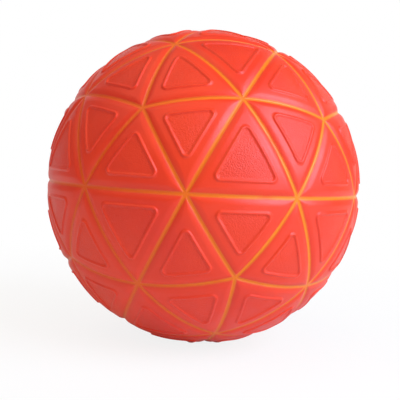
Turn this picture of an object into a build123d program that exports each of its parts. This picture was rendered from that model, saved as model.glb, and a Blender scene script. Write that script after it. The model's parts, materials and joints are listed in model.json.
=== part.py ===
from build123d import *
import math
import os

# A laminated rubber handball: bladder, wound thread, carcass, a net of seam strips and 80 raised panels.
# Lengths are in millimetres and angles in degrees. The origin is the ball's centre, and +Z goes through
# a point where five panels meet.

# Size of the ball over the panel faces
ball_diameter = 175.0

# Channels between the panels, and the strip at their bottom
channel_width = 1.5
channel_depth = 1.0
strip_thickness = 0.7
strip_clearance = 0.1

# Rolled edge of a panel
shoulder_width = 3.2
shoulder_entry_angle = 8.0

# Raised bead line on a panel
bead_offset = 7.2
bead_width = 1.8
bead_height = 0.5
bead_root = 0.3
bead_corner_radius = 2.2

# Layers under the panels
bond_gap = 0.15
carcass_thickness = 0.8
winding_thickness = 0.5
bladder_thickness = 0.9

# Valve body, with its flange inside the bladder
stem_diameter = 10.0
stem_clearance = 0.15
stem_recess = 0.5
flange_diameter = 26.0
flange_thickness = 1.6
patch_diameter = 40.0
patch_thickness = 1.0
floor_thickness = 1.5

# Valve core, the plug that a pump needle goes into
core_diameter = 5.0
core_length = 16.0
core_head_diameter = 7.0
core_head_height = 1.2
core_clearance = 0.05
core_tip_gap = 0.3
core_seal_thickness = 4.0
needle_hole_diameter = 2.2

# How far a cutting tool reaches past what it cuts
overrun = 2.0

# Pattern of the ball: a twenty-sided solid with each side split into four panels
ring_count = 5
ring_turn = 360.0 / ring_count
upper_ring_angle = -126.0
lower_ring_angle = -90.0
ring_height_share = 1.0 / math.sqrt(5.0)
ring_radius_share = 2.0 / math.sqrt(5.0)
valve_panel_index = 2
side_count = 3
blank_angle = 38.0
net_seam_angle = 15.0
quarter_turn = 90.0

# Radii worked out from the sizes above
ball_radius = ball_diameter / 2
panel_thickness = channel_depth + strip_thickness
panel_inner_radius = ball_radius - panel_thickness
strip_outer_radius = ball_radius - channel_depth
carcass_outer_radius = panel_inner_radius - bond_gap
carcass_inner_radius = carcass_outer_radius - carcass_thickness
winding_outer_radius = carcass_inner_radius - bond_gap
winding_inner_radius = winding_outer_radius - winding_thickness
bladder_outer_radius = winding_inner_radius - bond_gap
bladder_inner_radius = bladder_outer_radius - bladder_thickness
patch_outer_radius = bladder_inner_radius - bond_gap
patch_inner_radius = patch_outer_radius - patch_thickness
flange_outer_radius = patch_inner_radius - bond_gap
flange_inner_radius = flange_outer_radius - flange_thickness
wall_offset = channel_width / 2
strip_half_width = wall_offset - strip_clearance
stem_top = ball_radius - stem_recess
bore_floor = stem_top - core_length - core_tip_gap
stem_bottom = bore_floor - floor_thickness
centre = Vector(0, 0, 0)


def ring_point(azimuth, height_share):
    """Unit direction of a five-way point on the upper or lower ring."""
    turn = math.radians(azimuth)
    return Vector(ring_radius_share * math.cos(turn), ring_radius_share * math.sin(turn), height_share)


def five_way_points():
    """Named directions of the twelve points where five panels meet."""
    points = {"top_rosette": Vector(0, 0, 1), "bottom_rosette": Vector(0, 0, -1)}
    for k in range(ring_count):
        upper = ring_point(upper_ring_angle + ring_turn * k, ring_height_share)
        lower = ring_point(lower_ring_angle + ring_turn * k, -ring_height_share)
        points[f"upper_rosette_{k + 1}"] = upper
        points[f"lower_rosette_{k + 1}"] = lower
    return points


def big_triangles(points):
    """The twenty sides of the pattern, each named for the panel at its middle."""
    triangles = {}
    for k in range(ring_count):
        following = (k + 1) % ring_count
        upper, next_upper = points[f"upper_rosette_{k + 1}"], points[f"upper_rosette_{following + 1}"]
        lower, next_lower = points[f"lower_rosette_{k + 1}"], points[f"lower_rosette_{following + 1}"]
        lower_name = "valve_panel" if k == valve_panel_index else f"lower_centre_panel_{k + 1}"
        triangles[f"top_centre_panel_{k + 1}"] = (points["top_rosette"], upper, next_upper)
        triangles[f"upper_centre_panel_{k + 1}"] = (lower, next_upper, upper)
        triangles[lower_name] = (next_upper, lower, next_lower)
        triangles[f"bottom_centre_panel_{k + 1}"] = (points["bottom_rosette"], next_lower, lower)
    return triangles


def midway(first, second):
    """Direction halfway between two directions."""
    return (first + second).normalized()


def centre_corners(triangle):
    """Corner directions of the panel in the middle of a big triangle."""
    a, b, c = triangle
    return [midway(b, c), midway(c, a), midway(a, b)]


def corner_corners(point, triangle):
    """Corner directions of the panel that fills one corner of a big triangle, five-way point first."""
    others = [corner for corner in triangle if corner is not point]
    return [point, midway(point, others[0]), midway(point, others[1])]


def rosette_corners(point, triangles):
    """Corner directions of the five panels round a five-way point."""
    around = [triangle for triangle in triangles.values() if any(corner is point for corner in triangle)]
    return [corner_corners(point, triangle) for triangle in around]


def panel_plane(corners):
    """Frame of a panel: Z through its middle, X towards its first corner."""
    middle = (corners[0] + corners[1] + corners[2]).normalized()
    return Plane(origin=centre, x_dir=across(corners[0], middle), z_dir=middle)


def across(direction, axis):
    """The part of a direction that is square to an axis, as a unit vector."""
    return (direction - axis * direction.dot(axis)).normalized()


def seam_normals(corners):
    """Unit normals of the three seam planes, pointing into the panel, in the order of the sides."""
    normals = []
    for k in range(side_count):
        normal = corners[k].cross(corners[(k + 1) % side_count]).normalized()
        inward = normal if normal.dot(corners[(k + 2) % side_count]) > 0 else normal * -1
        normals.append(inward)
    return normals


def shell_blank(inner_radius, outer_radius):
    """Piece of a spherical shell about +Z, wider than any panel."""
    ring = Circle(outer_radius) - Circle(inner_radius)
    reach = outer_radius + overrun
    spread = reach * math.tan(math.radians(blank_angle))
    wedge = make_face(Polyline((0, 0), (-spread, reach), (spread, reach), close=True))
    standing = Rotation(quarter_turn - blank_angle, 0, 0) * (ring & wedge)
    return revolve(standing, Axis.X, revolution_arc=2 * blank_angle)


def side_cutter():
    """What lies beyond one side of a panel, turned about the seam plane's normal, which is X here."""
    foot = (wall_offset, math.sqrt(strip_outer_radius**2 - wall_offset**2))
    crest_offset = wall_offset + shoulder_width
    crest = (crest_offset, math.sqrt(ball_radius**2 - crest_offset**2))
    entry = math.radians(shoulder_entry_angle) - math.asin(crest_offset / ball_radius)
    slope = Vector(math.cos(entry), math.sin(entry))
    outer = ball_radius + overrun
    rise = (outer - crest[1]) / math.tan(math.radians(shoulder_entry_angle))
    shoulder = TangentArc(crest, foot, tangent=slope * -1)
    lip = Polyline(crest, (crest_offset + rise, outer), (-outer, outer), (-outer, 0), (wall_offset, 0), foot)
    return revolve(make_face(Curve() + [shoulder, lip]), Axis.X)


def bead_section(axis_angle):
    """Cross-section of the bead, on a ray at an angle from the axis that it is turned about."""
    half_width = bead_width / 2
    curve_radius = (half_width**2 + bead_height**2) / (2 * bead_height)
    drop = curve_radius - bead_height - bead_root
    half_root = math.sqrt(curve_radius**2 - drop**2)
    low, high = ball_radius - bead_root, ball_radius + bead_height
    arc = ThreePointArc((low, -half_root), (high, 0), (low, half_root))
    return Rotation(0, 0, axis_angle) * make_face(Curve() + [arc, Line((low, half_root), (low, -half_root))])


def bead_run(axis, axis_angle, start, end):
    """Stretch of the bead from one direction to another, turned about an axis through the centre."""
    side = across(start, axis)
    turn = math.degrees(math.atan2(end.dot(axis.cross(side)), end.dot(side)))
    if turn < 0:
        return bead_run(axis, axis_angle, end, start)
    place = Plane(origin=centre, x_dir=axis, z_dir=axis.cross(side))
    return place.location * revolve(bead_section(axis_angle), Axis.X, revolution_arc=turn)


def bead_corner(first, second, corner, reach):
    """Axis of the round bend of the bead at a corner, at the same angle from both seam planes."""
    sum_share = math.sin(reach) / (1 + first.dot(second))
    level = (first + second) * sum_share
    along = first.cross(second).normalized()
    outward = along if along.dot(corner) > 0 else along * -1
    return level + outward * math.sqrt(1 - level.dot(level))


def bead(corners):
    """The six stretches of a panel's bead: three along the seams and three round the corners."""
    normals = seam_normals(corners)
    offset_angle = math.asin(bead_offset / ball_radius)
    bend_angle = math.asin(bead_corner_radius / ball_radius)
    ends = {0: [], 1: [], 2: []}
    runs = []
    for k in range(side_count):
        sides = (k - 1) % side_count, k
        axis = bead_corner(normals[sides[0]], normals[sides[1]], corners[k], offset_angle + bend_angle)
        touches = []
        for side in sides:
            level = normals[side] * math.sin(offset_angle)
            touch = level + across(axis, normals[side]) * math.cos(offset_angle)
            touches.append(touch)
            ends[side].append(touch)
        runs.append(bead_run(axis, math.degrees(bend_angle), *touches))
    for side in range(side_count):
        runs.append(bead_run(normals[side], quarter_turn - math.degrees(offset_angle), *ends[side]))
    return runs


def panel(corners):
    """One cover panel in its own frame, with rolled edges and its bead."""
    cutters = []
    for normal in seam_normals(corners):
        facing = across(Vector(0, 0, 1), normal)
        place = Plane(origin=centre, x_dir=normal, z_dir=facing.cross(normal))
        cutters.append(place.location * side_cutter())
    body = shell_blank(panel_inner_radius, ball_radius) - cutters
    return body + bead(corners)


def local_corners(corners):
    """Corner directions in the panel's own frame."""
    plane = panel_plane(corners)
    return [plane.to_local_coords(corner) for corner in corners]


def pyramid(corners):
    """Solid wedge over a panel whose sides stand back from the seam planes by half a strip."""
    normals = seam_normals(corners)
    crossed = [normals[(k + 1) % side_count].cross(normals[(k + 2) % side_count]) for k in range(side_count)]
    lift = strip_half_width / normals[0].dot(crossed[0])
    apex = (crossed[0] + crossed[1] + crossed[2]) * lift
    reach = ball_diameter
    feet = [apex + corner.normalized() * reach for corner in corners]
    walls = [Face(Wire.make_polygon([apex, feet[k], feet[(k + 1) % side_count]])) for k in range(side_count)]
    return Solid(Shell(walls + [Face(Wire.make_polygon(feet))]))


def column(diameter, low, high):
    """Round column along +Z between two heights."""
    upright = (Align.CENTER, Align.CENTER, Align.MIN)
    return Pos(0, 0, low) * Cylinder(diameter / 2, high - low, align=upright)


def stem_opening():
    """Hole through a layer of the ball for the valve stem, along +Z."""
    return column(stem_diameter + 2 * stem_clearance, 0, ball_radius + overrun)


def shell(inner_radius, outer_radius):
    """Hollow ball."""
    return Sphere(outer_radius) - Sphere(inner_radius)


def shell_disc(inner_radius, outer_radius, diameter):
    """Round piece of a hollow ball about +Z."""
    return shell(inner_radius, outer_radius) & column(diameter, 0, ball_radius)


def seam_net(panels):
    """Strips at the bottom of all channels: a thin hollow ball with a wedge cut out under each panel."""
    pole = panel_plane(panels[0]).location * Rotation(0, 0, net_seam_angle)
    ball = pole * shell(panel_inner_radius, strip_outer_radius)
    return ball - [pyramid(corners) for corners in panels]


def carcass_half(low_angle, high_angle, valve):
    """Half of the rubber layer under the panels, between two latitudes."""
    outer = Sphere(carcass_outer_radius, low_angle, high_angle, align=None)
    return outer - Sphere(carcass_inner_radius) - valve * stem_opening()


def valve_patch():
    """Ring that strengthens the bladder round the valve stem."""
    return shell_disc(patch_inner_radius, patch_outer_radius, patch_diameter) - stem_opening()


def valve_body():
    """Valve stem with its flange, the bore for the core and the air passage in its floor."""
    body = shell_disc(flange_inner_radius, flange_outer_radius, flange_diameter)
    body += column(stem_diameter, stem_bottom, stem_top)
    head_seat = stem_top - core_head_height
    body -= column(core_diameter + 2 * core_clearance, bore_floor, stem_top + overrun)
    body -= column(core_head_diameter + 2 * core_clearance, head_seat, stem_top + overrun)
    return body - column(needle_hole_diameter, stem_bottom - overrun, stem_top)


def valve_core():
    """Plug in the valve stem, with a head at its outer end and a blind hole for the needle."""
    tip = stem_top - core_length
    core = column(core_diameter, tip, stem_top)
    core += column(core_head_diameter, stem_top - core_head_height, stem_top)
    return core - column(needle_hole_diameter, tip + core_seal_thickness, stem_top + overrun)


def save(name, shape):
    """Write one node."""
    export_step(shape, f"parts/{name}.step")


def save_panels(points, triangles):
    """Write the cover: a rosette of five panels at each five-way point, and a panel between rosettes."""
    sample = triangles["valve_panel"]
    centre_panel = panel(local_corners(centre_corners(sample)))
    corner_panel = panel(local_corners(corner_corners(sample[0], sample)))
    for name, triangle in triangles.items():
        shape = centre_panel - stem_opening() if name == "valve_panel" else centre_panel
        save(name, panel_plane(centre_corners(triangle)).location * shape)
    for name, point in points.items():
        places = [panel_plane(corners).location for corners in rosette_corners(point, triangles)]
        save(name, Compound([place * corner_panel.solid() for place in places]))


def save_layers(points, triangles, valve):
    """Write the seam net and the layers that lie under the cover."""
    panels = [centre_corners(triangle) for triangle in triangles.values()]
    for point in points.values():
        panels += rosette_corners(point, triangles)
    save("seam_lattice", seam_net(panels))
    save("carcass_upper", carcass_half(0, quarter_turn, valve))
    save("carcass_lower", carcass_half(-quarter_turn, 0, valve))
    save("winding", shell(winding_inner_radius, winding_outer_radius) - valve * stem_opening())
    save("bladder", shell(bladder_inner_radius, bladder_outer_radius) - valve * stem_opening())


def main():
    os.makedirs("parts", exist_ok=True)
    points = five_way_points()
    triangles = big_triangles(points)
    valve = panel_plane(centre_corners(triangles["valve_panel"])).location
    save_panels(points, triangles)
    save_layers(points, triangles, valve)
    save("valve_patch", valve * valve_patch())
    save("valve_body", valve * valve_body())
    save("valve_core", valve * valve_core())


main()
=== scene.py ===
import json
import math

import bpy
import numpy as np
from bpy.props import FloatProperty, FloatVectorProperty, PointerProperty
from mathutils import Matrix, Vector


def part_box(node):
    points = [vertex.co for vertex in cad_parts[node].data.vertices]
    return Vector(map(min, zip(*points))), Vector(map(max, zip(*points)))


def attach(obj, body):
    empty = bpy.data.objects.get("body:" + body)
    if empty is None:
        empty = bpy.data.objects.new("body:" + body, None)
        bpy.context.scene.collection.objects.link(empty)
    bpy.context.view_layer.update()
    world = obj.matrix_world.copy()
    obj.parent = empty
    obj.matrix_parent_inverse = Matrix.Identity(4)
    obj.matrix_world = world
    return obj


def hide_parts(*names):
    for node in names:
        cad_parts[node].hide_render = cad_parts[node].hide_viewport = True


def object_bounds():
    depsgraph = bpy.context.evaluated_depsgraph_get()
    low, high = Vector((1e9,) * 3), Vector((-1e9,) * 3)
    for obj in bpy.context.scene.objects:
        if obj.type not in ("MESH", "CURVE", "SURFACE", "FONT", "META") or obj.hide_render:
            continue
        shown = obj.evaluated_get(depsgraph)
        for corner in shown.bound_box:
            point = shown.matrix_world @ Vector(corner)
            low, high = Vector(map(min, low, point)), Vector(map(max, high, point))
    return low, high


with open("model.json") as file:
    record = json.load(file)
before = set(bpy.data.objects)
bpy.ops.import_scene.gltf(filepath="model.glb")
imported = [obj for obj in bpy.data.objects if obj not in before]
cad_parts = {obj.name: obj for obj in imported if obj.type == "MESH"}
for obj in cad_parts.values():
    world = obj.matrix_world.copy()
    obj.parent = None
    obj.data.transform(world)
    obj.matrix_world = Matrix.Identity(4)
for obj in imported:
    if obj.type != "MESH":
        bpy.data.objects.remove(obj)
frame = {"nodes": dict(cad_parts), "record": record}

CAD_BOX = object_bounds()
STRIP_RADIUS = float(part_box("seam_lattice")[1][2])
CARCASS_RADIUS = float(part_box("carcass_upper")[1][2])
NEEDLE_MOUNT = [mount for mount in frame["record"]["mounts"] if mount["name"] == "needle_bore"][0]
VALVE_AXIS = np.array(NEEDLE_MOUNT["axis"], float)
STEM_TOP = float(np.linalg.norm(NEEDLE_MOUNT["pos_m"]))

bl_info = {
    "name": "Panelled handball",
    "version": (1, 0, 0),
    "blender": (4, 5, 0),
    "location": "3D View > Sidebar > Handball",
    "description": "Builds a rubber handball with raised triangular panels and painted channels",
    "category": "Mesh",
}

# How many rows and columns each stretch of a surface gets
SIDE_COLUMNS = 36
BEND_COLUMNS = 12
SHOULDER_ROWS = 16
BAND_ROWS = 4
BEAD_ROWS = 15
FIELD_ROWS = 9
UNDER_ROWS = 4
LATHE_COLUMNS = 96
ROUNDING_STEPS = 6
STRIP_ROWS = 6
SWEEP_ROWS = 24

# Pattern of the ball: a twenty-sided solid with each side split into four panels
RING_COUNT = 5
UPPER_RING_ANGLE = -126.0
LOWER_RING_ANGLE = -90.0
RING_HEIGHT = 1.0 / math.sqrt(5.0)
RING_REACH = 2.0 / math.sqrt(5.0)
VALVE_INDEX = 2

# A corner of a turned outline is cut back by no more than this share of its shorter run
CORNER_SHARE = 0.45
# Points of the net that agree to this many decimals of a metre are one point
MERGE_DIGITS = 8

# Scales of the textures, in a metre
FLOOR_SCALE = 8.0
TONE_SCALE = 28.0
WEAR_SCALE = 45.0
GLOSS_SCALE = 120.0
WAVE_SCALE = 140.0
STRAY_SCALE = 260.0
SEAM_GLOSS_SCALE = 300.0
STRAND_SCALE = 320.0
SEAM_GRAIN_SCALE = 900.0

# Spans of the textures' values that are used, and the span along X across the ball over which the strips'
# colour deepens towards −X
NOISE_RANGE = (0.3, 0.7)
TONE_RANGE = (0.35, 0.7)
PIT_RANGE = (0.3, 0.5)
WEAR_RANGE = (0.55, 0.75)
STRAND_RANGE = (0.5, 1.0)
DEEP_SIDE_SPAN = (-0.06, 0.01)

# Shares that such spans are carried to
WHOLE_RANGE = (0.0, 1.0)
GRAIN_SHARE = (0.25, 1.0)
PIT_SHARE = (0.8, 0.0)
PAINT_SHARE = (0.9, 0.0)
SIDE_DEEPENING = (0.75, 0.0)
PATCH_WEAR = (0.0, 0.8)

# Height of the finest grain, and the turns of the wound strands in degrees
FINE_HEIGHT = 0.0002
STRAND_ANGLES = (0.0, 60.0, 120.0)

# Distances from the ball's centre and shares of white on the floor, as seen and as mirrored
SEEN_WHITE = ((0.1, 0.4), (0.85, 1.0))
MIRRORED_WHITE = ((0.1, 0.8), (0.1, 1.0))
WHITE = (1.0, 1.0, 1.0, 1.0)


def length(name, description, default):
    """A size in metres that a user can change."""
    return FloatProperty(name=name, description=description, default=default, unit="LENGTH", precision=5)


def turn(name, description, degrees):
    """An angle that a user can change."""
    return FloatProperty(name=name, description=description, default=math.radians(degrees), subtype="ANGLE")


def power(name, description, watts):
    """The power of a lamp that a user can change."""
    return FloatProperty(name=name, description=description, default=watts, min=0.0, unit="POWER")


def number(name, description, default):
    """A plain number that a user can change."""
    return FloatProperty(name=name, description=description, default=default, precision=4)


def pointing(name, description, default):
    """A direction that a user can change."""
    return FloatVectorProperty(name=name, description=description, default=default, size=3, subtype="XYZ")


def colour(name, description, default):
    """A colour, linear, that a user can change."""
    return FloatVectorProperty(
        name=name, description=description, default=default, size=4, subtype="COLOR", min=0.0, max=1.0
    )


class HandballCover(bpy.types.PropertyGroup):
    """Sizes of the cover panels."""

    face_radius: length("Face radius", "From the ball's centre to the face of a panel", 0.0875)
    strip_width: length("Strip width", "Width of the coloured strip in a channel", 0.0013)
    strip_hollow: length("Strip hollow", "How far a strip's middle lies below its edges", 0.00017)
    wall_gap: length("Wall gap", "Gap between a strip and the panel beside it", 0.00002)
    shoulder_width: length("Shoulder width", "Width of a panel's rolled edge", 0.0034)
    shoulder_power: number("Shoulder curve", "Power of the curve of the rolled edge", 1.8)
    bead_offset: length("Bead offset", "From the seam's middle to the middle of the bead", 0.0072)
    bead_width: length("Bead width", "Width of the raised bead line", 0.0018)
    bead_height: length("Bead height", "How far the bead stands above the face", 0.00062)
    bead_power: number("Bead curve", "Power of the cosine that rounds the bead", 1.0)
    bead_bend: length("Bead bend", "Radius of the bead's corners along its middle", 0.0022)
    corner_bend: length("Corner bend", "Radius of a panel's corners at its foot", 0.0003)
    bond_gap: length("Bond gap", "Gap between the cover and the carcass", 0.00015)
    rim_round: length("Rim round", "Rounding of the hole for the valve stem", 0.0004)
    hole_radius: length("Hole radius", "Radius of the hole for the valve stem", 0.00515)


class HandballValve(bpy.types.PropertyGroup):
    """Sizes of the valve body and its core."""

    stem_radius: length("Stem radius", "Radius of the valve stem", 0.005)
    stem_length: length("Stem length", "Length of the valve stem", 0.0178)
    flange_radius: length("Flange radius", "Radius of the flange inside the bladder", 0.013)
    flange_outer: length("Flange outer face", "From the ball's centre to the flange's outer face", 0.08185)
    flange_inner: length("Flange inner face", "From the ball's centre to the flange's inner face", 0.08025)
    bore_radius: length("Bore radius", "Radius of the bore that holds the core", 0.00255)
    seat_radius: length("Seat radius", "Radius of the seat of the core's head", 0.00355)
    seat_depth: length("Seat depth", "Depth of the seat of the core's head", 0.0012)
    floor_thickness: length("Floor thickness", "Thickness of the floor under the bore", 0.0015)
    needle_radius: length("Needle radius", "Radius of the needle hole", 0.0011)
    core_radius: length("Core radius", "Radius of the core", 0.0025)
    core_length: length("Core length", "Length of the core", 0.016)
    head_radius: length("Head radius", "Radius of the core's head", 0.0035)
    seal_thickness: length("Seal thickness", "Closed end of the core", 0.004)
    lip_round: length("Lip round", "Rounding of the moulded edges", 0.0003)


class HandballFinish(bpy.types.PropertyGroup):
    """Colours, gloss and grain of the rubbers and the thread."""

    cover: colour("Cover", "Main colour of the panels", (0.78, 0.039, 0.005, 1.0))
    cover_deep: colour("Cover, deep", "Deeper tone in the panels", (0.71, 0.027, 0.004, 1.0))
    gleam: colour("Gleam", "Tint of the light that the panels reflect", (1.0, 0.85, 0.88, 1.0))
    seam: colour("Seam", "Colour of the strips in the channels", (0.78, 0.19, 0.006, 1.0))
    seam_deep: colour("Seam, deep", "Deeper tone of the strips", (0.74, 0.065, 0.006, 1.0))
    carcass: colour("Carcass", "Rubber under the cover", (0.045, 0.042, 0.040, 1.0))
    bladder: colour("Bladder", "Rubber of the bladder and its patch", (0.022, 0.022, 0.024, 1.0))
    thread: colour("Thread", "Wound thread", (0.60, 0.57, 0.49, 1.0))
    valve: colour("Valve", "Rubber of the valve body", (0.030, 0.029, 0.028, 1.0))
    core: colour("Core", "Rubber of the valve core", (0.42, 0.40, 0.36, 1.0))
    cover_sheen: number("Cover sheen", "Specular level of the panels", 0.5)
    cover_rough: number("Cover roughness", "Middle roughness of the panels", 0.42)
    seam_sheen: number("Seam sheen", "Specular level of the strips", 0.3)
    seam_rough: number("Seam roughness", "Middle roughness of the strips", 0.36)
    grain_scale: number("Grain scale", "Scale of the grain inside the beads, in a metre", 1600.0)
    grain_height: length("Grain height", "Height of the grain inside the beads", 0.0005)
    wave_height: length("Wave height", "Height of the soft waves in the panels", 0.0005)
    strand_height: length("Strand height", "Height of the strands of the thread", 0.0003)
    paint_core: length("Paint core", "From the seam's middle to where the paint starts to fade", 0.00045)
    paint_reach: length("Paint reach", "From the seam's middle to where the paint ends", 0.00105)
    paint_stray: length("Paint stray", "How far the edge of the paint strays", 0.0004)


class HandballStage(bpy.types.PropertyGroup):
    """Camera, light and floor. Directions are to the camera's right, up and back."""

    azimuth: turn("Azimuth", "Camera round the ball", -13.0)
    elevation: turn("Elevation", "Camera above level", 2.65)
    roll: turn("Roll", "Camera turned about its view", 3.04)
    distance: length("Distance", "From the ball's centre to the camera", 0.4024)
    lens: number("Lens", "Focal length in millimetres", 62.98)
    shift_x: number("Shift X", "Sideways shift of the view", -0.0075)
    shift_y: number("Shift Y", "Upright shift of the view", -0.0347)
    clip_start: length("Clip start", "Nearest distance that the camera shows", 0.01)
    key_direction: pointing("Key direction", "From the ball to the main lamp", (0.75, 0.45, 0.48))
    key_distance: length("Key distance", "From the ball's centre to the main lamp", 1.2)
    key_size: length("Key size", "Side of the main lamp", 0.9)
    key_power: power("Key power", "Power of the main lamp", 24.0)
    key_tint: colour("Key tint", "Tint of the main lamp, a cool daylight", (0.66, 0.78, 1.0, 1.0))
    fill_direction: pointing("Fill direction", "From the ball to the weak lamp", (-0.35, 0.86, 0.37))
    fill_distance: length("Fill distance", "From the ball's centre to the weak lamp", 1.4)
    fill_size: length("Fill size", "Side of the weak lamp", 1.8)
    fill_power: power("Fill power", "Power of the weak lamp", 12.5)
    fill_tint: colour("Fill tint", "Tint of the weak lamp, a warm light", (1.0, 0.75, 0.5, 1.0))
    ambient: number("Ambient", "Light from all round", 0.22)
    sweep_reach: length("Sweep reach", "From the ball to where the floor curves up", 0.8)
    sweep_bend: length("Sweep bend", "Radius of the curve between floor and backdrop", 0.5)
    sweep_height: length("Sweep height", "Height of the backdrop", 1.1)
    sweep_width: length("Sweep width", "Half the floor's width", 1.2)
    floor: colour("Floor", "Colour of the floor", (0.86, 0.86, 0.86, 1.0))


def unit(vectors):
    """Vectors scaled to length one along the last axis."""
    return vectors / np.linalg.norm(vectors, axis=-1, keepdims=True)


def dot(first, second):
    """Dot product along the last axis, which is kept."""
    return np.sum(first * second, axis=-1, keepdims=True)


def across(vectors, axis):
    """Unit vectors square to an axis: the vector less its part along the axis."""
    return unit(vectors - axis * dot(vectors, axis))


def swing(first, second, steps):
    """Unit vectors on the arc from first to second: sine-weighted sums, one for each step from 0 to 1."""
    angle = np.arccos(np.clip(dot(first, second), -1.0, 1.0))[..., None, :]
    weight = steps[:, None]
    near = np.sin((1.0 - weight) * angle) * first[..., None, :]
    far = np.sin(weight * angle) * second[..., None, :]
    return (near + far) / np.sin(angle)


def five_way_points():
    """Named directions of the twelve points where five panels meet."""
    points = {"top_rosette": np.array([0.0, 0.0, 1.0]), "bottom_rosette": np.array([0.0, 0.0, -1.0])}
    turns = 2.0 * math.pi / RING_COUNT * np.arange(RING_COUNT)
    rings = (("upper", UPPER_RING_ANGLE, RING_HEIGHT), ("lower", LOWER_RING_ANGLE, -RING_HEIGHT))
    for ring, start, height in rings:
        angles = math.radians(start) + turns
        level = np.full(RING_COUNT, height)
        places = np.stack([RING_REACH * np.cos(angles), RING_REACH * np.sin(angles), level], axis=1)
        points.update({f"{ring}_rosette_{k + 1}": place for k, place in enumerate(places)})
    return points


def big_triangles():
    """The twenty sides of the pattern as names of their corner points, named for their middle panels."""
    triangles = {}
    for k in range(RING_COUNT):
        here, following = k + 1, (k + 1) % RING_COUNT + 1
        upper, next_upper = f"upper_rosette_{here}", f"upper_rosette_{following}"
        lower, next_lower = f"lower_rosette_{here}", f"lower_rosette_{following}"
        lower_name = "valve_panel" if k == VALVE_INDEX else f"lower_centre_panel_{here}"
        triangles[f"top_centre_panel_{here}"] = ("top_rosette", upper, next_upper)
        triangles[f"upper_centre_panel_{here}"] = (lower, next_upper, upper)
        triangles[lower_name] = (next_upper, lower, next_lower)
        triangles[f"bottom_centre_panel_{here}"] = ("bottom_rosette", next_lower, lower)
    return triangles


def panel_corners():
    """Corner directions of every panel, by node: one triangle for a middle panel, five for a rosette."""
    points = five_way_points()
    panels = {name: [] for name in points}
    for name, corner_names in big_triangles().items():
        corners = np.stack([points[corner] for corner in corner_names])
        middles = unit(corners + np.roll(corners, -1, axis=0))
        panels[name] = [np.roll(middles, -1, axis=0)]
        for k, corner in enumerate(corner_names):
            panels[corner].append(np.stack([corners[k], middles[k], middles[k - 1]]))
    return panels


def contours(corners, reach, bend):
    """Rounded triangles on the unit ball, one for each row.

    A side is the small circle at the angle reach inside its seam plane. A corner is a small circle of the
    angular radius bend that touches both its sides, and its axis is at the angle reach plus bend from both
    seam planes.
    """
    leaving = unit(np.cross(corners, np.roll(corners, -1, axis=0)))
    coming = np.roll(leaving, 1, axis=0)
    share = np.sin(reach + bend)[:, None, None] / (1.0 + dot(coming, leaving))
    level = share * (coming + leaving)
    axis = level + unit(np.cross(coming, leaving)) * np.sqrt(1.0 - dot(level, level))
    sine, cosine = np.sin(reach)[:, None, None], np.cos(reach)[:, None, None]
    start = across(axis, leaving)
    stop = across(axis, coming)
    first = across(coming * sine + stop * cosine, axis)
    last = across(leaving * sine + start * cosine, axis)
    round_steps = np.linspace(0.0, 1.0, BEND_COLUMNS, endpoint=False)
    side_steps = np.linspace(0.0, 1.0, SIDE_COLUMNS, endpoint=False)
    lean = np.sin(bend)[:, None, None, None]
    bends = axis[..., None, :] * np.sqrt(1.0 - lean**2) + lean * swing(first, last, round_steps)
    runs = swing(start, np.roll(stop, -1, axis=1), side_steps)
    sides = leaving[:, None, :] * sine[..., None] + runs * cosine[..., None]
    return np.concatenate([bends, sides], axis=2).reshape(len(reach), -1, 3)


def row_distances(shape):
    """Distances from the seam of the rows from the bead's inner edge out to the foot of the panel."""
    foot = shape.strip_width / 2 + shape.wall_gap
    crest = foot + shape.shoulder_width
    outer, inner = shape.bead_offset - shape.bead_width / 2, shape.bead_offset + shape.bead_width / 2
    bead = np.linspace(inner, outer, BEAD_ROWS)
    band = np.linspace(outer, crest, BAND_ROWS + 2)[1:-1]
    shoulder = np.linspace(crest, foot, SHOULDER_ROWS)
    return np.concatenate([bead, band, shoulder])


def relief(shape, distance):
    """Height over the ball's face: a power curve down the rolled edge, a power of a cosine over the bead."""
    foot = shape.strip_width / 2 + shape.wall_gap
    depth = shape.face_radius - STRIP_RADIUS
    fall = np.clip(1.0 - (distance - foot) / shape.shoulder_width, 0.0, 1.0) ** shape.shoulder_power
    along = np.clip((distance - shape.bead_offset) / (shape.bead_width / 2), -1.0, 1.0)
    return shape.bead_height * np.cos(along * math.pi / 2) ** shape.bead_power - depth * fall


def row_bends(shape, distance):
    """Corner radius of each row: parallel to the bead over its width, then sharper towards the foot."""
    foot = shape.strip_width / 2 + shape.wall_gap
    outer = shape.bead_offset - shape.bead_width / 2
    parallel = shape.bead_bend + shape.bead_offset - distance
    tapered = np.interp(distance, [foot, outer], [shape.corner_bend, shape.bead_bend + shape.bead_width / 2])
    return np.where(distance < outer, tapered, parallel)


def grid_quads(rows, columns, wrapped):
    """Corner numbers of a grid's quads: the columns close on themselves, and the rows too if wrapped."""
    row = np.arange(rows if wrapped else rows - 1)[:, None]
    column = np.arange(columns)[None, :]
    below, beside = (row + 1) % rows, (column + 1) % columns
    near, far = row * columns, below * columns
    corners = [near + column, far + column, far + beside, near + beside]
    return np.stack(np.broadcast_arrays(*corners), axis=-1).reshape(-1, 4)


def pole_fans(rows, columns):
    """Triangles that close the first row to the pole point after the grid, and the last row to the next."""
    column = np.arange(columns)
    beside = (column + 1) % columns
    count, last = rows * columns, (rows - 1) * columns
    top = np.stack([np.full(columns, count), column, beside], axis=1)
    bottom = np.stack([np.full(columns, count + 1), last + beside, last + column], axis=1)
    return np.concatenate([top, bottom])


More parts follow.
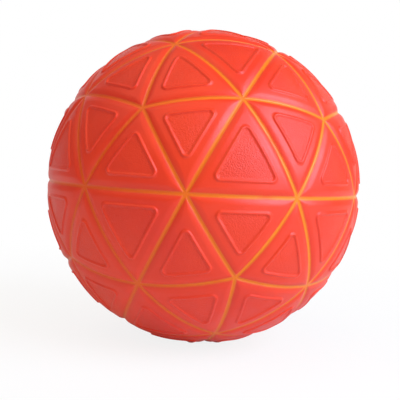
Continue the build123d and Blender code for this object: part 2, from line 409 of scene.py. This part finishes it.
def half_strips(corners, shape):
    """Rows of the half strips round one panel: along the underside to the wall, up it and over the top.

    A row is a rounded triangle at its distance from the seams, or the seams themselves at no distance. The
    top's radius grows from the seam to the wall with the square of the distance.
    """
    half = shape.strip_width / 2
    share = np.linspace(1.0, 0.0, STRIP_ROWS)[:-1]
    bend = np.full(len(share), shape.corner_bend)
    walls = contours(corners, share * half / STRIP_RADIUS, share * bend / STRIP_RADIUS)
    side_steps = np.linspace(0.0, 1.0, SIDE_COLUMNS, endpoint=False)
    points = np.repeat(corners[:, None], BEND_COLUMNS, axis=1)
    seam = np.concatenate([points, swing(corners, np.roll(corners, -1, axis=0), side_steps)], axis=1)
    seam = seam.reshape(1, -1, 3)
    inner_radius = CARCASS_RADIUS + shape.bond_gap
    under = np.concatenate([seam, walls[:1]]) * inner_radius
    top = STRIP_RADIUS - shape.strip_hollow * (1.0 - np.append(share, 0.0) ** 2)
    return np.concatenate([under, np.concatenate([walls, seam]) * top[:, None, None]])


def seam_net(panels, shape):
    """The whole net of strips: the half strips of all panels, with the points they share merged."""
    rows = [half_strips(corners, shape) for corners in panels]
    points = np.concatenate([part.reshape(-1, 3) for part in rows])
    height, columns = rows[0].shape[:2]
    starts = np.arange(len(rows))[:, None, None] * height * columns
    quads = (grid_quads(height, columns, False) + starts).reshape(-1, 4)
    fans = np.concatenate([quads[:, [0, 1, 2]], quads[:, [0, 2, 3]]])
    rounded_points = np.round(points, MERGE_DIGITS)
    _, first, place = np.unique(rounded_points, axis=0, return_index=True, return_inverse=True)
    fans = place.ravel()[fans]
    whole = (fans[:, 0] != fans[:, 1]) & (fans[:, 1] != fans[:, 2]) & (fans[:, 2] != fans[:, 0])
    return points[first], np.empty((0, 4), int), fans[whole]


def hole_mouth(outward, middle, shape):
    """Rows of the round rim of the stem's hole: a quarter circle from the hole's wall up to the face."""
    turns = np.linspace(0.0, math.pi / 2, ROUNDING_STEPS)[:, None, None]
    spread = shape.hole_radius + shape.rim_round * (1.0 - np.cos(turns))
    height = np.sqrt(shape.face_radius**2 - spread**2) - shape.rim_round * (1.0 - np.sin(turns))
    return outward * spread + middle * height


def panel_surface(corners, shape, holed):
    """One closed panel as a grid: rows go from its middle over the bead and the edge to the underside.

    A row's directions are a rounded triangle, or a blend of the innermost one with the middle, and its
    radius is the ball's radius plus the relief. A hole puts a circle in the place of the middle point.
    """
    distance = row_distances(shape)
    rim = contours(corners, distance / shape.face_radius, row_bends(shape, distance) / shape.face_radius)
    columns = rim.shape[1]
    seam_normals = unit(np.cross(corners, np.roll(corners, -1, axis=0)))
    middle = unit(np.linalg.solve(seam_normals, np.ones(3)))
    inner_radius = CARCASS_RADIUS + shape.bond_gap
    hub, under_hub, mouth = middle, middle, np.empty((0, columns, 3))
    if holed:
        outward = across(rim[0], middle)
        mouth = hole_mouth(outward, middle, shape)
        hub = unit(mouth[-1])
        under_hub = unit(outward * shape.hole_radius + middle * inner_radius)
    steps = np.linspace(0.0, 1.0, FIELD_ROWS + 2)[1:-1, None, None]
    field = unit((1.0 - steps) * hub + steps * rim[0]) * shape.face_radius
    edge = rim * (shape.face_radius + relief(shape, distance))[:, None, None]
    under_steps = np.linspace(1.0, 0.0, UNDER_ROWS + 1)[: UNDER_ROWS + holed, None, None]
    under = unit((1.0 - under_steps) * under_hub + under_steps * rim[-1]) * inner_radius
    rows = np.concatenate([mouth, field, edge, under])
    inside = np.full(len(mouth) + len(field), distance[0])
    seam = np.repeat(np.concatenate([inside, distance, np.full(len(under), distance[-1])]), columns)
    points = rows.reshape(-1, 3)
    quads = grid_quads(len(rows), columns, holed)
    if holed:
        return points, quads, np.empty((0, 3), int), seam
    points = np.concatenate([points, [middle * shape.face_radius, middle * inner_radius]])
    return points, quads, pole_fans(len(rows), columns), np.append(seam, [distance[0], distance[-1]])


def joined(surfaces):
    """Several surfaces as one: their points one after another, and corner numbers moved up to match."""
    points, quads, fans, seams = zip(*surfaces)
    starts = np.cumsum([0] + [len(part) for part in points[:-1]])
    quads = np.concatenate([part + start for part, start in zip(quads, starts)])
    fans = np.concatenate([part + start for part, start in zip(fans, starts)])
    return np.concatenate(points), quads, fans, np.concatenate(seams)


def rounded(points, cut):
    """A closed outline whose corners are parabolas between points cut back along the two runs."""
    before, after = np.roll(points, 1, axis=0) - points, np.roll(points, -1, axis=0) - points
    runs = np.minimum(np.linalg.norm(before, axis=1), np.linalg.norm(after, axis=1))
    back = np.minimum(cut, CORNER_SHARE * runs)[:, None]
    start, end = points + unit(before) * back, points + unit(after) * back
    step = np.linspace(0.0, 1.0, ROUNDING_STEPS)[None, :, None]
    middle = 2.0 * step * (1.0 - step) * points[:, None]
    curve = (1.0 - step) ** 2 * start[:, None] + middle + step**2 * end[:, None]
    return curve.reshape(-1, 2)


def lathe_surface(outline, on_axis):
    """An outline of radius and height turned about the valve's axis, in columns of equal angle.

    The outline runs up the inside, out over the top and down the outside. On the axis its two ends close
    in pole points, and otherwise it closes on itself.
    """
    side = across(np.array([1.0, 0.0, 0.0]), VALVE_AXIS)
    front = np.cross(VALVE_AXIS, side)
    angle = np.linspace(0.0, 2.0 * math.pi, LATHE_COLUMNS, endpoint=False)[:, None]
    spoke = np.cos(angle) * side + np.sin(angle) * front
    rings = outline[1:-1] if on_axis else outline
    rows = rings[:, :1, None] * spoke + rings[:, 1:, None] * VALVE_AXIS
    points = rows.reshape(-1, 3)
    quads = grid_quads(len(rings), LATHE_COLUMNS, not on_axis)
    if not on_axis:
        return points, quads, np.empty((0, 3), int)
    poles = outline[[0, -1], 1:] * VALVE_AXIS
    return np.concatenate([points, poles]), quads, pole_fans(len(rings), LATHE_COLUMNS)


def body_outline(valve):
    """Outline of the valve body: up the bore, over the top, down the stem, round the flange and its boss."""
    bottom = STEM_TOP - valve.stem_length
    floor = bottom + valve.floor_thickness
    seat = STEM_TOP - valve.seat_depth
    reach = np.linspace(valve.stem_radius, valve.flange_radius, ROUNDING_STEPS)
    upper = np.stack([reach, np.sqrt(valve.flange_outer**2 - reach**2)], axis=1)
    lower = np.stack([reach, np.sqrt(valve.flange_inner**2 - reach**2)], axis=1)[::-1]
    inside = [
        (valve.needle_radius, bottom),
        (valve.needle_radius, floor),
        (valve.bore_radius, floor),
        (valve.bore_radius, seat),
        (valve.seat_radius, seat),
        (valve.seat_radius, STEM_TOP),
        (valve.stem_radius, STEM_TOP),
    ]
    return rounded(np.concatenate([inside, upper, lower, [(valve.stem_radius, bottom)]]), valve.lip_round)


def core_outline(valve):
    """Outline of the valve core: up the needle hole, over the head, down the plug to its tip on the axis."""
    tip = STEM_TOP - valve.core_length
    seat = STEM_TOP - valve.seat_depth
    outline = np.array([
        (0.0, tip + valve.seal_thickness),
        (valve.needle_radius, tip + valve.seal_thickness),
        (valve.needle_radius, STEM_TOP),
        (valve.head_radius, STEM_TOP),
        (valve.head_radius, seat),
        (valve.core_radius, seat),
        (valve.core_radius, tip),
        (0.0, tip),
    ])
    curve = rounded(outline, valve.lip_round)[ROUNDING_STEPS:-ROUNDING_STEPS]
    return np.concatenate([outline[:1], curve, outline[-1:]])


def mesh_piece(name, points, quads, fans, material, seam=None):
    """A smooth mesh object at the origin, with the seam distance as a point attribute if one is given."""
    mesh = bpy.data.meshes.new(name)
    corners = np.concatenate([quads.ravel(), fans.ravel()]).astype(np.int32)
    starts = np.concatenate([np.arange(len(quads)) * 4, quads.size + np.arange(len(fans)) * 3])
    mesh.vertices.add(len(points))
    mesh.vertices.foreach_set("co", points.astype(np.float32).ravel())
    mesh.loops.add(len(corners))
    mesh.loops.foreach_set("vertex_index", corners)
    mesh.polygons.add(len(starts))
    mesh.polygons.foreach_set("loop_start", starts.astype(np.int32))
    mesh.update(calc_edges=True)
    mesh.validate()
    mesh.polygons.foreach_set("use_smooth", np.ones(len(mesh.polygons), bool))
    if seam is not None:
        layer = mesh.attributes.new("seam_distance", "FLOAT", "POINT")
        layer.data.foreach_set("value", seam.astype(np.float32))
    mesh.materials.append(material)
    piece = bpy.data.objects.new(name, mesh)
    bpy.context.scene.collection.objects.link(piece)
    return piece


def put(tree, kind, **settings):
    """A new shader node, with input sockets and node settings given by name."""
    made = tree.nodes.new(kind)
    for name, value in settings.items():
        if name in made.inputs:
            made.inputs[name].default_value = value
        else:
            setattr(made, name, value)
    return made


def noise(tree, place, scale, detail, rough=0.5):
    """Noise on the piece's own coordinates."""
    made = put(tree, "ShaderNodeTexNoise", Scale=scale, Detail=detail, Roughness=rough)
    tree.links.new(place, made.inputs["Vector"])
    return made.outputs[0]


def remap(tree, value, source, target):
    """A value carried from one range onto another, held at the ends."""
    made = put(tree, "ShaderNodeMapRange")
    tree.links.new(value, made.inputs["Value"])
    for name, limit in zip(("From Min", "From Max", "To Min", "To Max"), (*source, *target)):
        made.inputs[name].default_value = limit
    return made.outputs["Result"]


def combine(tree, operation, first, second):
    """Two values, or a value and a number, put through one operation."""
    made = put(tree, "ShaderNodeMath", operation=operation)
    for socket, value in zip(made.inputs, (first, second)):
        if isinstance(value, float):
            socket.default_value = value
        else:
            tree.links.new(value, socket)
    return made.outputs[0]


def mix_colours(tree, factor, first, second):
    """A mix of two colours, each a socket or four numbers."""
    made = put(tree, "ShaderNodeMix", data_type="RGBA")
    tree.links.new(factor, made.inputs[0])
    for socket, value in zip((made.inputs[6], made.inputs[7]), (first, second)):
        if isinstance(value, bpy.types.NodeSocket):
            tree.links.new(value, socket)
        else:
            socket.default_value = tuple(value)
    return made.outputs[2]


def bump(tree, height, strength, distance, under=None):
    """Bump from a height, on top of another bump if one is given."""
    made = put(tree, "ShaderNodeBump", Strength=strength, Distance=distance)
    tree.links.new(height, made.inputs["Height"])
    if under is not None:
        tree.links.new(under, made.inputs["Normal"])
    return made.outputs["Normal"]


def darker(tint, share):
    """A colour with its red, green and blue at a share of what they were."""
    return [value * share for value in tint[:3]] + [1.0]


def new_material(name):
    """A material with its node tree, its shader and the piece's own coordinates."""
    material = bpy.data.materials.new(name)
    material.use_nodes = True
    tree = material.node_tree
    shader = tree.nodes["Principled BSDF"]
    place = put(tree, "ShaderNodeTexCoord").outputs["Object"]
    return material, tree, shader, place


def uneven_gloss(tree, shader, pattern, middle, spread):
    """Roughness that a pattern moves up and down from a middle value."""
    rough = remap(tree, pattern, NOISE_RANGE, (middle - spread, middle + spread))
    tree.links.new(rough, shader.inputs["Roughness"])


def channel_paint(tree, place, finish):
    """Orange that thins to a deeper tone in patches of noise, and deepens slowly along X towards the ball's
    −X side.
    """
    axes = put(tree, "ShaderNodeSeparateXYZ")
    tree.links.new(place, axes.inputs[0])
    # The colour deepens evenly from +X towards −X over the whole ball
    side = remap(tree, axes.outputs["X"], DEEP_SIDE_SPAN, SIDE_DEEPENING)
    patches = remap(tree, noise(tree, place, WEAR_SCALE, detail=4.0), WEAR_RANGE, PATCH_WEAR)
    return mix_colours(tree, combine(tree, "MAXIMUM", side, patches), finish.seam, finish.seam_deep)


def cover_rubber(finish, shape):
    """Moulded red rubber: soft tone changes, paint that strays over the foot, grain inside the bead."""
    material, tree, shader, place = new_material("cover_rubber")
    seam = put(tree, "ShaderNodeAttribute", attribute_name="seam_distance").outputs["Fac"]
    bead_flank = (shape.bead_offset, shape.bead_offset + shape.bead_width / 2)
    inside = remap(tree, seam, bead_flank, GRAIN_SHARE)
    grain = noise(tree, place, finish.grain_scale, detail=2.0, rough=0.6)
    pits = combine(tree, "MULTIPLY", remap(tree, grain, PIT_RANGE, PIT_SHARE), inside)
    tone = remap(tree, noise(tree, place, TONE_SCALE, detail=3.0), TONE_RANGE, WHOLE_RANGE)
    red = mix_colours(tree, combine(tree, "MAXIMUM", tone, pits), finish.cover, finish.cover_deep)
    stray = combine(tree, "MULTIPLY", noise(tree, place, STRAY_SCALE, detail=3.0), finish.paint_stray)
    paint_edge = (finish.paint_core, finish.paint_reach)
    paint = remap(tree, combine(tree, "SUBTRACT", seam, stray), paint_edge, PAINT_SHARE)
    painted = mix_colours(tree, paint, red, channel_paint(tree, place, finish))
    tree.links.new(painted, shader.inputs["Base Color"])
    gloss = noise(tree, place, GLOSS_SCALE, detail=4.0)
    uneven_gloss(tree, shader, gloss, finish.cover_rough, spread=0.04)
    shader.inputs["Specular IOR Level"].default_value = finish.cover_sheen
    shader.inputs["Specular Tint"].default_value = finish.gleam
    swell = noise(tree, place, WAVE_SCALE, detail=2.0)
    wave = bump(tree, swell, strength=0.25, distance=finish.wave_height)
    rise = combine(tree, "MULTIPLY", grain, inside)
    skin = bump(tree, rise, strength=0.7, distance=finish.grain_height, under=wave)
    tree.links.new(skin, shader.inputs["Normal"])
    return material


def plain_rubber(name, base, rough, grain_scale):
    """Moulded rubber of one colour with fine grain, coarser changes of gloss and still coarser mottling."""
    material, tree, shader, place = new_material(name)
    mottle = remap(tree, noise(tree, place, grain_scale / 8, detail=3.0), NOISE_RANGE, WHOLE_RANGE)
    mottled = mix_colours(tree, mottle, base, darker(base, share=0.75))
    tree.links.new(mottled, shader.inputs["Base Color"])
    gloss = noise(tree, place, grain_scale / 3, detail=2.0)
    uneven_gloss(tree, shader, gloss, rough, spread=0.06)
    grain = noise(tree, place, grain_scale, detail=2.0)
    skin = bump(tree, grain, strength=0.3, distance=FINE_HEIGHT)
    tree.links.new(skin, shader.inputs["Normal"])
    return material


def seam_rubber(finish):
    """Orange channel strip with uneven paint and gloss."""
    material, tree, shader, place = new_material("seam_rubber")
    tree.links.new(channel_paint(tree, place, finish), shader.inputs["Base Color"])
    shader.inputs["Specular IOR Level"].default_value = finish.seam_sheen
    gloss = noise(tree, place, SEAM_GLOSS_SCALE, detail=2.0)
    uneven_gloss(tree, shader, gloss, finish.seam_rough, spread=0.06)
    grain = noise(tree, place, SEAM_GRAIN_SCALE, detail=2.0)
    skin = bump(tree, grain, strength=0.2, distance=FINE_HEIGHT)
    tree.links.new(skin, shader.inputs["Normal"])
    return material


def wound_thread(finish):
    """Wound thread: fine waves turned three ways, so that crossing strands show, with painted shade where
    the strands lie low.
    """
    material, tree, shader, place = new_material("thread")
    strands = []
    for angle in np.radians(STRAND_ANGLES).tolist():
        turned = put(tree, "ShaderNodeMapping", Rotation=(angle, angle, 0.0))
        tree.links.new(place, turned.inputs["Vector"])
        strand = put(tree, "ShaderNodeTexWave", Scale=STRAND_SCALE, Distortion=1.5, Detail=1.0)
        tree.links.new(turned.outputs["Vector"], strand.inputs["Vector"])
        strands.append(strand.outputs["Fac"])
    height = strands[0]
    for strand in strands[1:]:
        height = combine(tree, "MAXIMUM", height, strand)
    # Painted shade: the thread is darker in the low places between the strands
    shade = remap(tree, height, STRAND_RANGE, WHOLE_RANGE)
    pale = mix_colours(tree, shade, darker(finish.thread, share=0.6), finish.thread)
    tree.links.new(pale, shader.inputs["Base Color"])
    shader.inputs["Roughness"].default_value = 0.8
    skin = bump(tree, height, strength=0.5, distance=finish.strand_height)
    tree.links.new(skin, shader.inputs["Normal"])
    return material


def camera_axes(stage):
    """The camera's right, up and back directions as columns, from its azimuth, elevation and roll."""
    a, e, r = stage.azimuth, stage.elevation, stage.roll
    back = np.array([math.sin(a) * math.cos(e), -math.cos(a) * math.cos(e), math.sin(e)])
    level = np.array([math.cos(a), math.sin(a), 0.0])
    upright = np.cross(back, level)
    right = math.cos(r) * level + math.sin(r) * upright
    return np.stack([right, np.cross(back, right), back], axis=1)


def photo_camera(scene, stage, view):
    """Camera that looks at the ball's centre along the back axis."""
    data = bpy.data.cameras.new("photo_camera")
    data.lens = stage.lens
    data.shift_x, data.shift_y = stage.shift_x, stage.shift_y
    data.clip_start = stage.clip_start
    camera = bpy.data.objects.new("photo_camera", data)
    scene.collection.objects.link(camera)
    place = np.eye(4)
    place[:3, :3] = view
    place[:3, 3] = view[:, 2] * stage.distance
    camera.matrix_world = Matrix(place.tolist())
    scene.camera = camera


def lamp(name, direction, distance, size, watts, tint):
    """Square lamp at a distance along a direction from the ball's centre, facing it."""
    data = bpy.data.lights.new(name, "AREA")
    data.energy = watts
    data.color = tint[:3]
    data.size = size
    holder = bpy.data.objects.new(name, data)
    bpy.context.scene.collection.objects.link(holder)
    heading = Vector(unit(direction).tolist())
    holder.location = heading * distance
    holder.rotation_euler = heading.to_track_quat("Z", "Y").to_euler()


def soft_world(scene, stage):
    """An even grey all round that gives the ball its soft light."""
    world = bpy.data.worlds.new("soft_world")
    world.use_nodes = True
    scene.world = world
    soft = world.node_tree.nodes["Background"]
    soft.inputs["Color"].default_value = WHITE
    soft.inputs["Strength"].default_value = stage.ambient


def sweep_surface(stage):
    """Floor that curves up into a backdrop behind the ball.

    An outline along the view runs level, then in a quarter circle, then upright, and is spread sideways.
    """
    turns = np.linspace(0.0, math.pi / 2, SWEEP_ROWS)
    bend = np.stack([np.sin(turns), 1.0 - np.cos(turns)], axis=1) * stage.sweep_bend
    far = stage.sweep_reach + stage.sweep_bend
    reach = np.concatenate([[-stage.sweep_width], stage.sweep_reach + bend[:, 0], [far]])
    height = np.concatenate([[0.0], bend[:, 1], [stage.sweep_height]])
    away = np.array([-math.sin(stage.azimuth), math.cos(stage.azimuth), 0.0])
    aside = np.array([math.cos(stage.azimuth), math.sin(stage.azimuth), 0.0])
    outline = reach[:, None] * away + (CAD_BOX[0][2] + height)[:, None] * np.array([0.0, 0.0, 1.0])
    points = np.concatenate([outline - aside * stage.sweep_width, outline + aside * stage.sweep_width])
    row = np.arange(len(outline) - 1)
    quads = np.stack([row, row + len(outline), row + len(outline) + 1, row + 1], axis=1)
    return points, quads, np.empty((0, 3), int)


def floor_white(tree, place):
    """Share of plain white on the floor, for rays from the camera and for rays that surfaces mirror."""
    path = put(tree, "ShaderNodeLightPath").outputs
    reach = put(tree, "ShaderNodeVectorMath", operation="LENGTH")
    tree.links.new(place, reach.inputs[0])
    seen = remap(tree, reach.outputs["Value"], *SEEN_WHITE)
    mirrored = remap(tree, reach.outputs["Value"], *MIRRORED_WHITE)
    rays = combine(tree, "MAXIMUM", path["Is Glossy Ray"], path["Is Transmission Ray"])
    direct = combine(tree, "MULTIPLY", seen, path["Is Camera Ray"])
    return combine(tree, "MAXIMUM", direct, combine(tree, "MULTIPLY", mirrored, rays))


def pale_sweep(stage):
    """Wide pale floor and backdrop, whitened where they are seen so that only a soft shadow shows."""
    material, tree, shader, place = new_material("pale_sweep")
    mottle = remap(tree, noise(tree, place, FLOOR_SCALE, detail=2.0), NOISE_RANGE, WHOLE_RANGE)
    pale = mix_colours(tree, mottle, stage.floor, darker(stage.floor, share=0.985))
    tree.links.new(pale, shader.inputs["Base Color"])
    shader.inputs["Roughness"].default_value = 0.9
    glow = put(tree, "ShaderNodeEmission", Color=WHITE, Strength=1.0)
    either = put(tree, "ShaderNodeMixShader")
    tree.links.new(floor_white(tree, place), either.inputs[0])
    tree.links.new(shader.outputs[0], either.inputs[1])
    tree.links.new(glow.outputs[0], either.inputs[2])
    tree.links.new(either.outputs[0], tree.nodes["Material Output"].inputs["Surface"])
    mesh_piece("sweep", *sweep_surface(stage), material)


def settle(piece, body, node):
    """Let a piece stand for a node, hidden in its place, and move with its body."""
    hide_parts(node)
    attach(piece, body)


def dress(node, material):
    """Give a carried-over node one material."""
    slots = frame["nodes"][node].data.materials
    slots.clear()
    slots.append(material)


class HANDBALL_OT_stage(bpy.types.Operator):
    """Set up the floor, the white background, the lamps and the camera"""

    bl_idname = "handball.stage"
    bl_label = "Stage"

    def execute(self, context):
        stage = context.scene.handball_stage
        context.scene.view_settings.view_transform = "Standard"
        soft_world(context.scene, stage)
        pale_sweep(stage)
        view = camera_axes(stage)
        key, fill = view @ np.array(stage.key_direction), view @ np.array(stage.fill_direction)
        lamp("key_lamp", key, stage.key_distance, stage.key_size, stage.key_power, stage.key_tint)
        lamp("fill_lamp", fill, stage.fill_distance, stage.fill_size, stage.fill_power, stage.fill_tint)
        photo_camera(context.scene, stage, view)
        return {"FINISHED"}


class HANDBALL_OT_cover(bpy.types.Operator):
    """Build the cover: twelve rosettes of five panels and twenty panels between them"""

    bl_idname = "handball.cover"
    bl_label = "Cover panels"

    def execute(self, context):
        shape = context.scene.handball_cover
        material = cover_rubber(context.scene.handball_finish, shape)
        for node, panels in panel_corners().items():
            holed = node == "valve_panel"
            points, quads, fans, seam = joined([panel_surface(corners, shape, holed) for corners in panels])
            piece = mesh_piece(f"{node}_cover", points, quads, fans, material, seam)
            settle(piece, "ball", node)
        return {"FINISHED"}


class HANDBALL_OT_seams(bpy.types.Operator):
    """Build the net of hollow strips at the bottom of the channels"""

    bl_idname = "handball.seams"
    bl_label = "Seam strips"

    def execute(self, context):
        panels = [corners for group in panel_corners().values() for corners in group]
        surface = seam_net(panels, context.scene.handball_cover)
        piece = mesh_piece("seam_net", *surface, seam_rubber(context.scene.handball_finish))
        settle(piece, "ball", "seam_lattice")
        return {"FINISHED"}


class HANDBALL_OT_valve(bpy.types.Operator):
    """Build the valve body and its core, with rounded moulded edges"""

    bl_idname = "handball.valve"
    bl_label = "Valve"

    def execute(self, context):
        valve, finish = context.scene.handball_valve, context.scene.handball_finish
        body_rubber = plain_rubber("valve_rubber", finish.valve, rough=0.55, grain_scale=1200.0)
        core_rubber = plain_rubber("core_rubber", finish.core, rough=0.6, grain_scale=1200.0)
        body = mesh_piece("valve_body_moulding", *lathe_surface(body_outline(valve), False), body_rubber)
        core = mesh_piece("valve_core_plug", *lathe_surface(core_outline(valve), True), core_rubber)
        settle(body, "ball", "valve_body")
        settle(core, "valve_core", "valve_core")
        return {"FINISHED"}


class HANDBALL_OT_layers(bpy.types.Operator):
    """Finish the layers under the cover: carcass, wound thread, bladder and its patch"""

    bl_idname = "handball.layers"
    bl_label = "Inner layers"

    def execute(self, context):
        finish = context.scene.handball_finish
        carcass = plain_rubber("carcass_rubber", finish.carcass, rough=0.6, grain_scale=500.0)
        bladder = plain_rubber("bladder_rubber", finish.bladder, rough=0.5, grain_scale=400.0)
        dress("carcass_upper", carcass)
        dress("carcass_lower", carcass)
        dress("winding", wound_thread(finish))
        dress("bladder", bladder)
        dress("valve_patch", bladder)
        return {"FINISHED"}


class HANDBALL_PT_pieces(bpy.types.Panel):
    """Buttons for the pieces of the ball"""

    bl_idname = "HANDBALL_PT_pieces"
    bl_label = "Handball"
    bl_space_type = "VIEW_3D"
    bl_region_type = "UI"
    bl_category = "Handball"

    def draw(self, context):
        for operator in OPERATORS:
            self.layout.operator(operator.bl_idname)


OPERATORS = (HANDBALL_OT_stage, HANDBALL_OT_cover, HANDBALL_OT_seams, HANDBALL_OT_valve, HANDBALL_OT_layers)
GROUPS = {
    "handball_cover": HandballCover,
    "handball_valve": HandballValve,
    "handball_finish": HandballFinish,
    "handball_stage": HandballStage,
}


def register():
    for name, group in GROUPS.items():
        bpy.utils.register_class(group)
        setattr(bpy.types.Scene, name, PointerProperty(type=group))
    for operator in OPERATORS:
        bpy.utils.register_class(operator)
    bpy.utils.register_class(HANDBALL_PT_pieces)


def unregister():
    bpy.utils.unregister_class(HANDBALL_PT_pieces)
    for operator in reversed(OPERATORS):
        bpy.utils.unregister_class(operator)
    for name, group in GROUPS.items():
        delattr(bpy.types.Scene, name)
        bpy.utils.unregister_class(group)


def main():
    register()
    bpy.ops.handball.stage()
    bpy.ops.handball.cover()
    bpy.ops.handball.seams()
    bpy.ops.handball.valve()
    bpy.ops.handball.layers()


if __name__ == "__main__":
    main()
